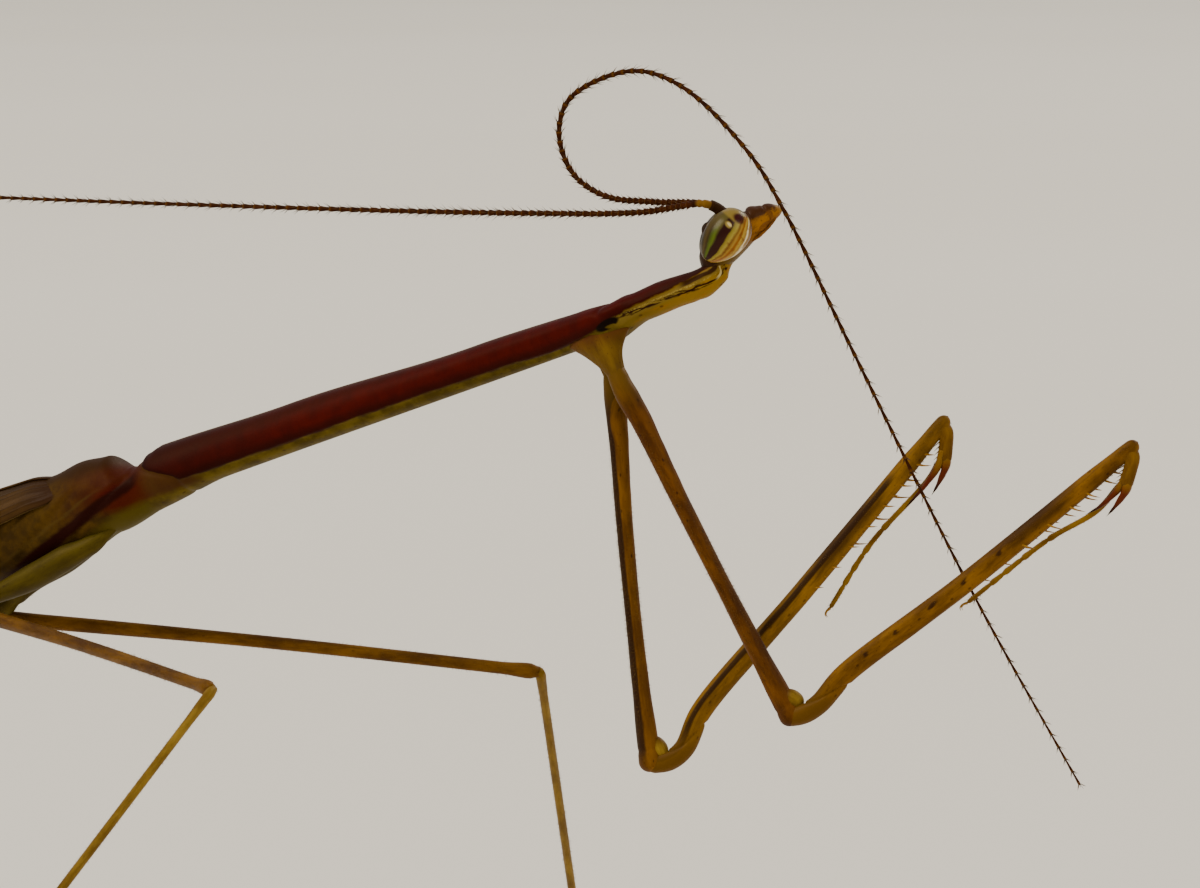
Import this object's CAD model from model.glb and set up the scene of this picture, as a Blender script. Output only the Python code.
import math
import bpy
import numpy as np
from mathutils import Matrix, Vector


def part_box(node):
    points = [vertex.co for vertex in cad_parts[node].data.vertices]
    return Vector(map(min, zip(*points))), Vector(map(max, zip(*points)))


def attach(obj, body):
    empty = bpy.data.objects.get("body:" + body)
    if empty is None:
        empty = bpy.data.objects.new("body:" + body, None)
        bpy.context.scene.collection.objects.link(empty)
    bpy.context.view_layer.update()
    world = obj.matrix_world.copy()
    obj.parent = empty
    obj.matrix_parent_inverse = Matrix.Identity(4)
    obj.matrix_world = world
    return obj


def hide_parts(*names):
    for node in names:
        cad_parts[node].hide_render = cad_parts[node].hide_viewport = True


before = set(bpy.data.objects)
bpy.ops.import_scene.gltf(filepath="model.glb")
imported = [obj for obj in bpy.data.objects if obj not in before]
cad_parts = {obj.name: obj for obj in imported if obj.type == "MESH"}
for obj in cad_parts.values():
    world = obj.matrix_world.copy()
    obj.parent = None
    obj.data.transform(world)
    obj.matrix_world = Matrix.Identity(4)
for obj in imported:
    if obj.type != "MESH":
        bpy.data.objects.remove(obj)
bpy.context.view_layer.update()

# Places below are in millimetres in the insect's own frame: X ahead, Y to its left, Z up.
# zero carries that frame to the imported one, and place() turns millimetres there into metres.
thoraxLow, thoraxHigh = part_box("prothorax")
zero = np.array([thoraxLow.x * 1000 + 13.661, (thoraxLow.y + thoraxHigh.y) * 500, 0.0])
chance = np.random.default_rng(7)


def place(spots):
    return (np.asarray(spots, float) + zero) * 0.001


def unit(v):
    return v / np.linalg.norm(v, axis=-1, keepdims=True)


def heading(turn, climb):
    # the unit direction turned this many degrees to the left of straight ahead, then climbing
    t, c = math.radians(turn), math.radians(climb)
    return np.array([math.cos(c) * math.cos(t), math.cos(c) * math.sin(t), math.sin(c)])


def ease(t, *stations):
    # between two stations: the first value plus the step to the next times u*u*(3-2u)
    spots = np.array(stations, float)
    t = np.clip(t, spots[0, 0], spots[-1, 0])
    k = np.clip(np.searchsorted(spots[:, 0], t, side="right") - 1, 0, len(spots) - 2)
    u = (t - spots[k, 0]) / (spots[k + 1, 0] - spots[k, 0])
    return spots[k, 1] + (spots[k + 1, 1] - spots[k, 1]) * u * u * (3 - 2 * u)


def rise(t, low, high):
    # 0 below low, 1 above high, and smooth between them
    u = np.clip((t - low) / (high - low), 0, 1)
    return u * u * (3 - 2 * u)


def hump(t, middle, half):
    # exp(-((t-middle)/half)^2)
    return np.exp(-((t - middle) / half) ** 2)


def runOf(path):
    return np.concatenate([[0], np.cumsum(np.linalg.norm(np.diff(path, axis=0), axis=1))])


def spaced(path, fractions):
    # the spots at these fractions of the path's own length
    run = runOf(path)
    want = np.asarray(fractions) * run[-1]
    return np.stack([np.interp(want, run, path[:, k]) for k in range(3)], 1)


def curveThrough(points, fractions):
    # centripetal Catmull-Rom: three rounds of straight blends between neighbouring knots
    p = np.array(points, float)
    p = np.vstack([2 * p[0] - p[1], p, 2 * p[-1] - p[-2]])
    knots = np.concatenate([[0], np.cumsum(np.linalg.norm(np.diff(p, axis=0), axis=1) ** 0.5)])
    t = np.linspace(knots[1], knots[-2], 80 * len(p))
    k = np.clip(np.searchsorted(knots, t, side="right") - 1, 1, len(p) - 3)

    def blend(a, b, start, end):
        return ((end - t)[:, None] * a + (t - start)[:, None] * b) / (end - start)[:, None]

    t0, t1, t2, t3 = (knots[k + d] for d in (-1, 0, 1, 2))
    p0, p1, p2, p3 = (p[k + d] for d in (-1, 0, 1, 2))
    a1, a2, a3 = blend(p0, p1, t0, t1), blend(p1, p2, t1, t2), blend(p2, p3, t2, t3)
    b1, b2 = blend(a1, a2, t0, t2), blend(a2, a3, t1, t3)
    return spaced(blend(b1, b2, t1, t2), fractions)


def framesAlong(path, over):
    # across is square to the path and to over, and lift is square to both
    along = unit(np.gradient(path, axis=0))
    across = unit(np.cross(along, np.asarray(over, float)))
    return along, across, np.cross(across, along)


def ringFaces(rows, around):
    # the squares between each ring and the next, wound so that they face outward
    i, j = np.meshgrid(np.arange(rows - 1), np.arange(around), indexing="ij")
    k = (j + 1) % around
    near, far = i * around, (i + 1) * around
    return np.stack([near + j, near + k, far + k, far + j], -1).reshape(-1, 4)


def closedRings(rows, around, turnedOver=False):
    # the faces of a row of rings with a tip at each end; the two tips come after the rings
    j = np.arange(around)
    k = (j + 1) % around
    tip, last = rows * around + 0 * j, (rows - 1) * around
    quads = ringFaces(rows, around)
    tris = np.concatenate([np.stack([tip, k, j], 1), np.stack([tip + 1, last + j, last + k], 1)])
    return dict(quads=quads[:, ::-1], tris=tris[:, ::-1]) if turnedOver else dict(quads=quads, tris=tris)


def tube(path, wide, high, low=None, around=16, over=(0, 0, 1), relief=None):
    # ring spot = path + across*wide*sin a + lift*(high above, low below)*cos a, with a once
    # round; relief adds millimetres outward
    rows = len(path)
    low = high if low is None else low
    wide, high, low = (np.broadcast_to(v, (rows,)).astype(float)[:, None] for v in (wide, high, low))
    _, across, lift = framesAlong(path, over)
    a = np.arange(around)[None, :] * 2 * math.pi / around
    out, up = wide * np.sin(a), np.where(np.cos(a) >= 0, high, low) * np.cos(a)
    station = np.broadcast_to(runOf(path)[:, None], (rows, around))
    if relief is not None:
        push = relief(station, a + 0 * station, out, up)
        size = np.sqrt(out ** 2 + up ** 2) + 1e-9
        out, up = out * (1 + push / size), up * (1 + push / size)
    spots = path[:, None, :] + across[:, None, :] * out[..., None] + lift[:, None, :] * up[..., None]
    lay = np.stack([station, out, up], -1)
    ends = np.stack([path[0], path[-1]])
    endLay = np.array([[0, 0, 0], [runOf(path)[-1], 0, 0]])
    return dict(
        closedRings(rows, around),
        spots=np.concatenate([spots.reshape(-1, 3), ends]),
        lay=np.concatenate([lay.reshape(-1, 3), endLay]),
    )


def sheet(top, under, topLay):
    # two like grids of spots with a rim between them: top faces one way and under the other
    rows, columns = top.shape[:2]
    i, j = np.meshgrid(np.arange(rows - 1), np.arange(columns - 1), indexing="ij")
    a = (i * columns + j).reshape(-1)
    upper = np.stack([a, a + 1, a + columns + 1, a + columns], 1)
    count = rows * columns
    rim = np.concatenate([
        np.arange(columns - 1), (np.arange(rows - 1) + 1) * columns - 1,
        (rows - 1) * columns + np.arange(columns - 1, 0, -1), np.arange(rows - 1, 0, -1) * columns,
    ])
    turned = np.roll(rim, -1)
    wall = np.stack([rim, rim + count, turned + count, turned], 1)
    return dict(
        spots=np.concatenate([top.reshape(-1, 3), under.reshape(-1, 3)]),
        quads=np.concatenate([upper, upper[:, ::-1] + count, wall]),
        tris=np.zeros((0, 3), int),
        lay=np.concatenate([topLay.reshape(-1, 3)] * 2),
    )


def ball(centre, axes, half, rows=24, around=32, narrowing=0.0):
    # spot = centre + first axis*along*cos b + the others*half*sin b*(1 + narrowing*cos b)
    b = np.linspace(0, math.pi, rows + 2)[1:-1][:, None]
    a = np.arange(around)[None, :] * 2 * math.pi / around
    girth = np.sin(b) * (1 + narrowing * np.cos(b))
    local = np.stack([np.cos(b) + 0 * a, girth * np.sin(a), girth * np.cos(a)], -1)
    local = np.concatenate([local.reshape(-1, 3), [[1, 0, 0], [-1, 0, 0]]])
    spots = np.asarray(centre) + (local * half) @ np.asarray(axes)
    return dict(closedRings(rows, around, np.linalg.det(axes) >= 0), spots=spots, lay=local * half)


def spikes(roots, tips, thick, unwrap=None):
    # closed three-sided needles: three spots round each root, and the tip; unwrap is the place
    # of each on the flat map, where it is a patch 0.003 across
    along = unit(tips - roots)
    side = unit(np.cross(along, np.where(np.abs(along[:, 2:]) > 0.9, [[1, 0, 0]], [[0, 0, 1]])))
    other = np.cross(along, side)
    turns = np.arange(3) * 2 * math.pi / 3
    base = [roots + (side * math.cos(t) + other * math.sin(t)) * thick for t in turns]
    spots = np.stack(base + [tips], 1).reshape(-1, 3)
    k = np.arange(len(roots))[:, None] * 4
    tris = np.concatenate([k + [0, 1, 3], k + [1, 2, 3], k + [2, 0, 3], k + [2, 1, 0]])
    shell = dict(spots=spots, quads=np.zeros((0, 4), int), tris=tris)
    shell["lay"] = np.tile([[0, 0, 0], [0, 0, 0], [0, 0, 0], [1.0, 0, 0]], (len(roots), 1))
    if unwrap is not None:
        patch = np.array([[-1, -1], [1, -1], [0, 1], [0, 0.2]]) * 0.0015
        shell["uv"] = (unwrap[:, None] + patch).reshape(-1, 2)
    return shell


def together(*shells):
    joined = dict(shells[0])
    for shell in shells[1:]:
        count = len(joined["spots"])
        for key in joined:
            extra = shell[key] + count if key in ("quads", "tris") else shell[key]
            joined[key] = np.concatenate([joined[key], extra])
    return joined


def makePiece(name, shell, finish, nodes=()):
    mesh = bpy.data.meshes.new(name)
    quads, tris = shell["quads"], shell["tris"]
    mesh.vertices.add(len(shell["spots"]))
    mesh.vertices.foreach_set("co", place(shell["spots"]).astype(np.float32).ravel())
    corners = np.concatenate([quads.ravel(), tris.ravel()]).astype(np.int32)
    mesh.loops.add(len(corners))
    mesh.loops.foreach_set("vertex_index", corners)
    starts = np.concatenate([np.arange(len(quads)) * 4, len(quads) * 4 + np.arange(len(tris)) * 3])
    mesh.polygons.add(len(starts))
    mesh.polygons.foreach_set("loop_start", starts.astype(np.int32))
    mesh.polygons.foreach_set("use_smooth", np.ones(len(starts), bool))
    mesh.update(calc_edges=True)
    mesh.validate()
    for key, values in shell.items():
        if key in ("spots", "quads", "tris", "uv"):
            continue
        kind, member = ("FLOAT_VECTOR", "vector") if values.ndim == 2 else ("FLOAT", "value")
        mesh.attributes.new(key, kind, "POINT").data.foreach_set(member, values.astype(np.float32).ravel())
    if "uv" in shell:
        unwrapped = mesh.uv_layers.new(name="OFBake")
        unwrapped.data.foreach_set("uv", shell["uv"][corners].astype(np.float32).ravel())
    mesh.materials.append(finish)
    piece = bpy.data.objects.new(name, mesh)
    bpy.context.scene.collection.objects.link(piece)
    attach(piece, "root")
    if nodes:
        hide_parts(*nodes)
    return piece


# Finishes.

def tint(code):
    # a web colour as linear light
    parts = [int(code[i:i + 2], 16) / 255 for i in (1, 3, 5)]
    return tuple(p / 12.92 if p <= 0.04045 else ((p + 0.055) / 1.055) ** 2.4 for p in parts) + (1.0,)


def wire(tree, kind, links=(), **settings):
    made = tree.nodes.new("ShaderNode" + kind)
    for key, value in settings.items():
        setattr(made, key, value)
    for socket, source in dict(links).items():
        if isinstance(source, bpy.types.NodeSocket):
            tree.links.new(source, made.inputs[socket])
        else:
            made.inputs[socket].default_value = source
    return made.outputs


def times(tree, value, *others):
    # all the values multiplied together
    for other in others:
        value = calc(tree, "MULTIPLY", value, other)
    return value


def paint(tree, under, over, *masks):
    # over shows on under where all the masks are 1; a colour may be a web code
    under, over = (tint(colour) if isinstance(colour, str) else colour for colour in (under, over))
    return wire(tree, "Mix", {0: times(tree, *masks), 6: under, 7: over}, data_type="RGBA")[2]


def ramp(tree, value, low, high):
    links = {"Value": value, "From Min": low, "From Max": high}
    return wire(tree, "MapRange", links, interpolation_type="SMOOTHSTEP")[0]


def calc(tree, operation, a, b=0.0):
    return wire(tree, "Math", {0: a, 1: b}, operation=operation)[0]


def field(tree, name, output="Fac"):
    return wire(tree, "Attribute", attribute_name=name)[output]


def laid(tree, scale):
    # the straightened place on a limb or body, in millimetres, stretched by scale
    return wire(tree, "Mapping", {"Vector": field(tree, "lay", "Vector"), "Scale": scale})[0]


def laidParts(tree):
    # the same place as its X along the piece, Y across it and Z out of its upper side
    return wire(tree, "SeparateXYZ", {0: field(tree, "lay", "Vector")})


def swing(tree, value, size):
    # a noise turned into a shift of up to half of size either way
    return times(tree, calc(tree, "SUBTRACT", value, 0.5), size)


def spreadOf(tree, value, low, high):
    # 0 to 1 stretched to low to high
    return wire(tree, "MapRange", {"Value": value, "To Min": low, "To Max": high})[0]


def noise(tree, where, scale, detail=4.0, rough=0.55):
    links = {"Vector": where, "Scale": scale, "Detail": detail, "Roughness": rough}
    return wire(tree, "TexNoise", links)["Fac"]


def dots(tree, where, scale, inner, outer):
    # 1 in the middle of each cell and 0 at its edge
    gap = wire(tree, "TexVoronoi", {"Vector": where, "Scale": scale, "Randomness": 0.9})["Distance"]
    return ramp(tree, gap, outer, inner)


def newFinish(name, roughness, coat=0.0, level=0.15, glint="#ffcf9a"):
    made = bpy.data.materials.new(name)
    made.use_nodes = True
    shader = made.node_tree.nodes["Principled BSDF"]
    shader.inputs["Roughness"].default_value = roughness
    shader.inputs["Specular IOR Level"].default_value = level
    shader.inputs["Specular Tint"].default_value = tint(glint)
    shader.inputs["Coat Weight"].default_value = coat
    shader.inputs["Coat Roughness"].default_value = 0.2
    return made, made.node_tree, shader


def dress(tree, shader, colour, height=None, depth=0.01, strength=0.5, roughness=None):
    tree.links.new(colour, shader.inputs["Base Color"])
    if roughness is not None:
        tree.links.new(roughness, shader.inputs["Roughness"])
    if height is not None:
        links = {"Height": height, "Distance": depth * 0.001, "Strength": strength}
        tree.links.new(wire(tree, "Bump", links)[0], shader.inputs["Normal"])


def sharedGroup(name, build, inputs, outputs):
    group = bpy.data.node_groups.new(name, "ShaderNodeTree")
    for label, kind in inputs:
        group.interface.new_socket(label, in_out="INPUT", socket_type=kind)
    for label, kind in outputs:
        group.interface.new_socket(label, in_out="OUTPUT", socket_type=kind)
    source = group.nodes.new("NodeGroupInput").outputs
    made = build(group, source)
    sink = group.nodes.new("NodeGroupOutput").inputs
    for label, _ in outputs:
        group.links.new(made[label], sink[label])
    return group


def cuticleWork(group, source):
    # cloudy is soft mottling, pits is a close granular skin and height puts the two together
    where = source["Where"]
    cloudy = noise(group, where, 2.2, 5.0, 0.6)
    fine = noise(group, where, 26.0, 3.0, 0.6)
    cells = wire(group, "TexVoronoi", {"Vector": where, "Scale": 22.0})["Distance"]
    pits = ramp(group, cells, 0.15, 0.75)
    height = calc(group, "ADD", times(group, pits, 0.6), times(group, fine, 0.5))
    return {"Cloudy": cloudy, "Fine": fine, "Pits": pits, "Height": height}


cuticleGrain = sharedGroup(
    "cuticleGrain", cuticleWork, [("Where", "NodeSocketVector")],
    [(label, "NodeSocketFloat") for label in ("Cloudy", "Fine", "Pits", "Height")],
)


def grainOf(tree, scale=(1, 1, 1)):
    made = tree.nodes.new("ShaderNodeGroup")
    made.node_tree = cuticleGrain
    tree.links.new(laid(tree, scale), made.inputs[0])
    return made.outputs


# Trunk: neck, prothorax, the two winged segments and the abdomen as one skin.

head = dict(joint=(2.14, 0.0, 17.86), yaw=33, pitch=-39, roll=1.5)
headRoll = math.radians(head["roll"])
unrolled = np.array([
    heading(head["yaw"], -head["pitch"]),
    heading(head["yaw"] + 90, 0),
    heading(head["yaw"], 90 - head["pitch"]),
])
headAxes = np.stack([
    unrolled[0],
    unrolled[1] * math.cos(headRoll) - unrolled[2] * math.sin(headRoll),
    unrolled[2] * math.cos(headRoll) + unrolled[1] * math.sin(headRoll),
])


def inHead(x, y, z):
    # a place in the head's own frame: X to the mouth, Y to its left, Z out of its face
    return np.array(head["joint"]) + np.array([x, y, z], float) @ headAxes


trunk = dict(
    front=np.array([1.66, 0, 17.35]), frontPitch=18.4, frontLength=15.9,
    rearPitch=17, wingedLength=9.01, abdomenLength=23.5, rings=10, rows=900, around=72,
)
bodyAxis = heading(180, -trunk["frontPitch"])
thoraxAxis = heading(180, -trunk["rearPitch"])
prothoraxRear = trunk["front"] + bodyAxis * trunk["frontLength"]
mesoFront = prothoraxRear + thoraxAxis * 0.06 + [0, 0, -0.06]
abdomenFront = mesoFront + thoraxAxis * (trunk["wingedLength"] + 0.06)
abdomenBend = abdomenFront + thoraxAxis * trunk["abdomenLength"] * 0.34
abdomenTip = abdomenBend + heading(180, -9.5) * trunk["abdomenLength"] * 0.66


def abdomenAt(t):
    # a quadratic curve: (1-t)^2 front + 2t(1-t) bend + t^2 tip
    t = np.atleast_1d(np.asarray(t, float))[:, None]
    return (1 - t) ** 2 * abdomenFront + 2 * t * (1 - t) * abdomenBend + t * t * abdomenTip


def trunkPath():
    neck = [inHead(0.55, 0, -0.12), inHead(0.2, 0, -0.2), inHead(-0.18, 0, -0.27)]
    straight = [trunk["front"] + bodyAxis * d for d in (0.55, 1.2, 3, 6, 9, 12, 14.5, 15.7)]
    winged = [mesoFront + thoraxAxis * d for d in (0.3, 1.5, 4, 6.5, 8.6)]
    rear = list(abdomenAt(np.array([0.03, 0.15, 0.3, 0.45, 0.6, 0.75, 0.9, 1.0])))
    even = curveThrough(neck + straight + winged + rear, np.linspace(0, 1, 4000))
    run = runOf(even)
    run = run - run[np.argmin(np.linalg.norm(even - trunk["front"], axis=1))]
    # rings stand closest together ahead of the wings
    pace = np.where(run < 21, 1.0, 0.45)
    share = np.concatenate([[0], np.cumsum(pace[1:] * np.diff(run))])
    want = np.interp(np.linspace(0, share[-1], trunk["rows"]), share, np.arange(len(run)))
    k = np.round(want).astype(int)
    return even[k], run[k]


trunkLine, stationOf = trunkPath()
trunkStart = stationOf[0]
abdomenStart, abdomenDepth = 25.0, 0.72


def trunkSizes(s):
    # half the width, the height over the line and the depth under it. Along the abdomen each is
    # times 0.93 + 0.055*sin(pi*u), with u from 0 to 1 along a ring of the body
    t = np.clip((s - abdomenStart) / (stationOf[-1] - abdomenStart), 0, 1)
    within = t * trunk["rings"] - np.floor(t * trunk["rings"] - 1e-6)
    rearward = s > abdomenStart
    ring = np.where(rearward, 0.93 + 0.055 * np.sin(math.pi * np.minimum(1, within * 1.15)), 1)
    wide = ease(
        s, [-1.35, 0.12], [-1.2, 0.26], [-0.8, 0.36], [-0.3, 0.36], [0.1, 0.4], [0.95, 0.45],
        [2.2, 0.6], [3.98, 0.49], [13.5, 0.58], [15.3, 0.7], [15.95, 0.64], [16.6, 0.84],
        [17.3, 0.86], [18, 0.79], [25, 0.79],
    )
    high = ease(
        s, [-1.35, 0.12], [-1.2, 0.26], [-0.8, 0.33], [-0.3, 0.34], [0.24, 0.35], [0.7, 0.36],
        [1.6, 0.3], [2.02, 0.27], [2.9, 0.32], [6.04, 0.4], [11.45, 0.62], [15.2, 0.73], [15.5, 0.67],
        [15.95, 0.47], [16.12, 0.55], [16.8, 1.0], [17.5, 1.06], [18.4, 0.95], [19.4, 0.55], [25, 0.5],
    )
    low = ease(
        s, [-1.35, 0.1], [-1.2, 0.2], [-0.8, 0.31], [-0.4, 0.35], [0.1, 0.36], [1.27, 0.4],
        [2.4, 0.64], [3.5, 0.52], [13.67, 0.48], [15.9, 0.69], [17.0, 0.84], [17.85, 1.02],
        [19.5, 1.16], [21.5, 1.08], [25, abdomenDepth],
    )
    rearWide = ease(
        t, [0, 0.8], [0.3, 0.84], [0.75, 0.72], [0.93, 0.5], [0.975, 0.36], [0.993, 0.22], [1, 0.04],
    )
    deep = ease(
        t, [0, 0.5], [0.3, 0.6], [0.75, 0.56], [0.93, 0.4], [0.975, 0.3], [0.993, 0.18], [1, 0.04],
    )
    settled = abdomenDepth + (deep - abdomenDepth) * rise(t, 0, 0.06)
    wide, high, low = (
        np.where(rearward, rear, fore) for rear, fore in ((rearWide, wide), (deep, high), (settled, low))
    )
    return wide * ring, high * ring, low * ring


def plateEdge(s):
    # the height of the pronotum's lower edge above the centre line
    return ease(
        s, [-0.7, 0.24], [-0.39, 0.16], [-0.08, 0.11], [0.4, 0.03], [1.11, -0.02], [1.5, -0.06],
        [1.85, -0.14], [2.3, -0.27], [3.1, -0.35], [3.9, -0.38], [5.3, -0.33], [8.2, -0.29],
        [11.1, -0.28], [14.6, -0.26], [16, -0.24],
    )


def plateRear(up):
    # where the pronotum ends: further forward towards its lower corner
    return 15.6 - 0.95 * rise(-up, -0.4, 0.3)


def trunkRelief(station, a, out, up):
    s = station + trunkStart
    plate = up - plateEdge(s)
    onPlate = rise(s, -0.6, -0.3) * rise(plateRear(up) - s, 0, 0.1)
    push = 0.014 * hump(plate, 0.03, 0.035) * onPlate - 0.028 * hump(plate, -0.05, 0.04) * onPlate
    keel = hump(out, 0, 0.05) * (up > 0)
    push += 0.025 * keel * rise(s, 2.6, 4) * rise(-s, -15.7, -15.2)
    push -= 0.045 * hump(s, 2.02 + 0.5 * np.abs(out), 0.1) * rise(up, -0.1, 0.1)
    push += 0.02 * hump(s, 1.7, 0.2) * rise(up, 0, 0.15)
    push -= 0.04 * hump(s, plateRear(up) + 0.07, 0.09) * rise(up, -0.75, -0.5)
    # soft folds in the neck and under the chin
    folds = np.sin((s * 0.9 + up) * 17) * rise(-s, -0.1, 0.4) * rise(s, -1.3, -0.9) * rise(-up, -0.2, 0.1)
    push += 0.012 * folds
    # slanting seams on the flanks of the winged segments
    flank = rise(-np.abs(up + 0.2), -0.75, -0.45) * rise(s, 15.9, 16.3) * rise(-s, -24.9, -24.2)
    lean = s + 1.9 * up
    for seam in (16.6, 18.2, 19.5, 21.3, 22.9):
        push -= 0.045 * hump(lean, seam, 0.09) * flank
        push += 0.02 * hump(lean, seam + 0.28, 0.2) * flank
    # the side pleat of the abdomen
    push -= 0.03 * hump(up, -0.02, 0.05) * rise(s, 24.8, 25.4) * rise(-s, -47.5, -46)
    return push


def makeTrunk(finish):
    wide, high, low = trunkSizes(stationOf)
    shell = tube(trunkLine, wide, high, low, trunk["around"], relief=trunkRelief)
    s = shell["lay"][:, 0] + trunkStart
    out, up = shell["lay"][:, 1], shell["lay"][:, 2]
    rear = plateRear(up)
    onPlate = rise(rear - s, -0.03, 0.03)
    shell["plate"] = np.minimum(up - plateEdge(s), rear - s)
    shell["lifted"] = up
    shell["keel"] = hump(out, 0, 0.07) * (up > 0) * onPlate
    shell["station"] = s
    shell["blot"] = 1 - np.sqrt(((s - 2.12) / 0.33) ** 2 + ((up + 0.25 + 0.15 * (s - 2.12)) / 0.11) ** 2)
    shell["notch"] = 1 - np.sqrt(((s - 2.05) / 0.2) ** 2 + ((up + 0.31) / 0.05) ** 2)
    stripe = 0.25 - 0.288 * (s - 15.53)
    shell["stripe"] = up - stripe
    shell["flank"] = rise(s, 15.6, 16.0) * rise(-s, -25.2, -24.4) * rise(s - rear, 0, 0.1)
    shell["rearward"] = rise(s, 24.6, 25.4)
    ringPlace = np.clip((s - abdomenStart) / (stationOf[-1] - abdomenStart), 0, 1) * trunk["rings"]
    shell["ring"] = ringPlace - np.floor(ringPlace)
    return makePiece("trunkSkin", shell, finish, (
        "neck", "prothorax", "mesothorax", "metathorax", "abdomen_base", "abdomen_middle", "abdomen_tip"))


def slantBand(tree, s, up, start, slope, half):
    # 1 along the line up = start + slope*s and 0 further from it than half, in millimetres
    away = calc(tree, "SUBTRACT", up, calc(tree, "ADD", times(tree, s, slope), start))
    return ramp(tree, calc(tree, "ABSOLUTE", away), half, half * 0.45)


def between(tree, value, low, high, soft):
    # 1 from low to high and 0 beyond them, with soft edges
    above, below = ramp(tree, value, low - soft, low + soft), ramp(tree, value, high + soft, high - soft)
    return times(tree, above, below)


def trunkFinish():
    made, tree, shader = newFinish("trunkCuticle", 0.55, level=0.07)
    grain = grainOf(tree)
    cloudy, fine = grain["Cloudy"], grain["Fine"]
    s, up, plate = field(tree, "station"), field(tree, "lifted"), field(tree, "plate")
    long = noise(tree, laid(tree, (1.6, 9, 9)), 1.0, 4.0, 0.65)
    shake = swing(tree, long, 0.12)
    ragged, wavy = calc(tree, "ADD", plate, shake), calc(tree, "ADD", up, shake)
    # maroon plate, redder in its middle, blackish towards its rear and olive along its keel
    red = paint(tree, "#380403", "#460603", ramp(tree, cloudy, 0.3, 0.75))
    red = paint(tree, red, "#1a0303", ramp(tree, s, 10.0, 15.6), 0.6)
    red = paint(tree, red, "#2e0e03", ramp(tree, up, 0.2, 0.42), 0.5)
    red = paint(tree, red, "#1c0202", ramp(tree, plate, 0.26, 0.04), 0.65)
    red = paint(tree, red, "#2a1004", ramp(tree, s, 1.2, -0.3), 0.5)
    # olive underside, yellower at the neck and dotted
    olive = paint(tree, "#403204", "#5c4c0a", ramp(tree, cloudy, 0.35, 0.7))
    olive = paint(tree, olive, "#82620c", ramp(tree, s, 2.4, -0.2))
    olive = paint(tree, olive, "#8a5a0a", ramp(tree, long, 0.5, 0.66), ramp(tree, s, 2.4, -0.4))
    peppered = dots(tree, laid(tree, (0.8, 1.2, 1.2)), 4.2, 0.1, 0.24)
    olive = paint(tree, olive, "#2c1806", peppered, 0.6)
    skin = paint(tree, olive, red, ramp(tree, ragged, -0.03, 0.02))
    # the skin between the plate and the winged segments
    behind = times(tree, between(tree, s, 14.2, 17.5, 0.3), ramp(tree, wavy, -0.52, -0.36))
    behind = times(tree, behind, ramp(tree, ragged, 0.02, -0.03))
    soft = paint(tree, "#3e220e", "#400804", ramp(tree, s, 15.3, 16.0))
    skin = paint(tree, skin, soft, behind, 0.9)
    # beside the front of the plate: an olive wedge, a torn dark streak over it and dashes below
    forward = ramp(tree, s, 2.1, 1.7)
    wedge = times(tree, ramp(tree, plate, -0.26, -0.18), ramp(tree, plate, 0.0, -0.04))
    skin = paint(tree, skin, "#6e5a20", wedge, forward, 0.8)
    flecks = ramp(tree, noise(tree, laid(tree, (2.6, 18, 18)), 1.0, 3.0), 0.44, 0.56)
    dashes = times(tree, slantBand(tree, s, wavy, -0.115, -0.025, 0.075), flecks)
    skin = paint(tree, skin, "#230c04", dashes, ramp(tree, s, 2.0, 1.6))
    streak = times(tree, slantBand(tree, s, wavy, 0.055, -0.116, 0.075), ramp(tree, s, 0.15, -0.15))
    skin = paint(tree, skin, "#260904", streak, 0.92)
    cream = times(tree, slantBand(tree, s, wavy, -0.03, -0.06, 0.03), ramp(tree, s, 2.0, 1.2))
    cream = times(tree, cream, ramp(tree, fine, 0.42, 0.6))
    skin = paint(tree, skin, "#a08a40", cream, 0.5)
    fold = times(tree, slantBand(tree, s, up, -0.46, -0.52, 0.04), between(tree, s, -1.2, -0.7, 0.06))
    skin = paint(tree, skin, "#c8b470", fold, 0.8)
    skin = paint(tree, skin, "#5c4414", field(tree, "keel"), 0.5)
    blot = ramp(tree, field(tree, "blot"), -0.15, 0.15)
    blot = times(tree, blot, ramp(tree, field(tree, "notch"), 0.35, 0.0))
    skin = paint(tree, skin, "#060203", blot)
    # winged segments: olive brown with a dark red stripe and a maroon patch above it
    stripe, flank = calc(tree, "ADD", field(tree, "stripe"), shake), field(tree, "flank")
    side = paint(tree, "#32220a", "#4a340c", ramp(tree, cloudy, 0.35, 0.68))
    side = paint(tree, side, "#4a4006", ramp(tree, stripe, -0.28, -0.55), 0.85)
    above = times(tree, ramp(tree, stripe, 0.0, 0.12), ramp(tree, s, 18.8, 16.2))
    side = paint(tree, side, "#3c0604", above, 0.75)
    seamLine = times(tree, between(tree, stripe, 0.27, 0.34, 0.04), ramp(tree, s, 16.5, 17.4))
    side = paint(tree, side, "#4a3816", seamLine, 0.5)
    patch = times(tree, between(tree, s, 15.4, 16.9, 0.35), between(tree, wavy, -0.42, 0.16, 0.12))
    side = paint(tree, side, "#400604", patch, 0.85)
    side = paint(tree, side, "#200403", between(tree, stripe, -0.17, 0.1, 0.06))
    side = paint(tree, side, "#2e1a06", ramp(tree, up, 0.5, 0.85), 0.85)
    skin = paint(tree, skin, side, flank)
    # abdomen: brown rings with darker hind edges
    ring = paint(tree, "#3e2e10", "#5c4820", ramp(tree, cloudy, 0.35, 0.7))
    ring = paint(tree, ring, "#6a5a24", ramp(tree, up, 0.0, -0.3), 0.6)
    ring = paint(tree, ring, "#221206", ramp(tree, field(tree, "ring"), 0.86, 0.98))
    skin = paint(tree, skin, ring, field(tree, "rearward"))
    rough = spreadOf(tree, fine, 0.42, 0.62)
    dress(tree, shader, skin, grain["Height"], 0.006, 0.3, rough)
    return made


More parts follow.
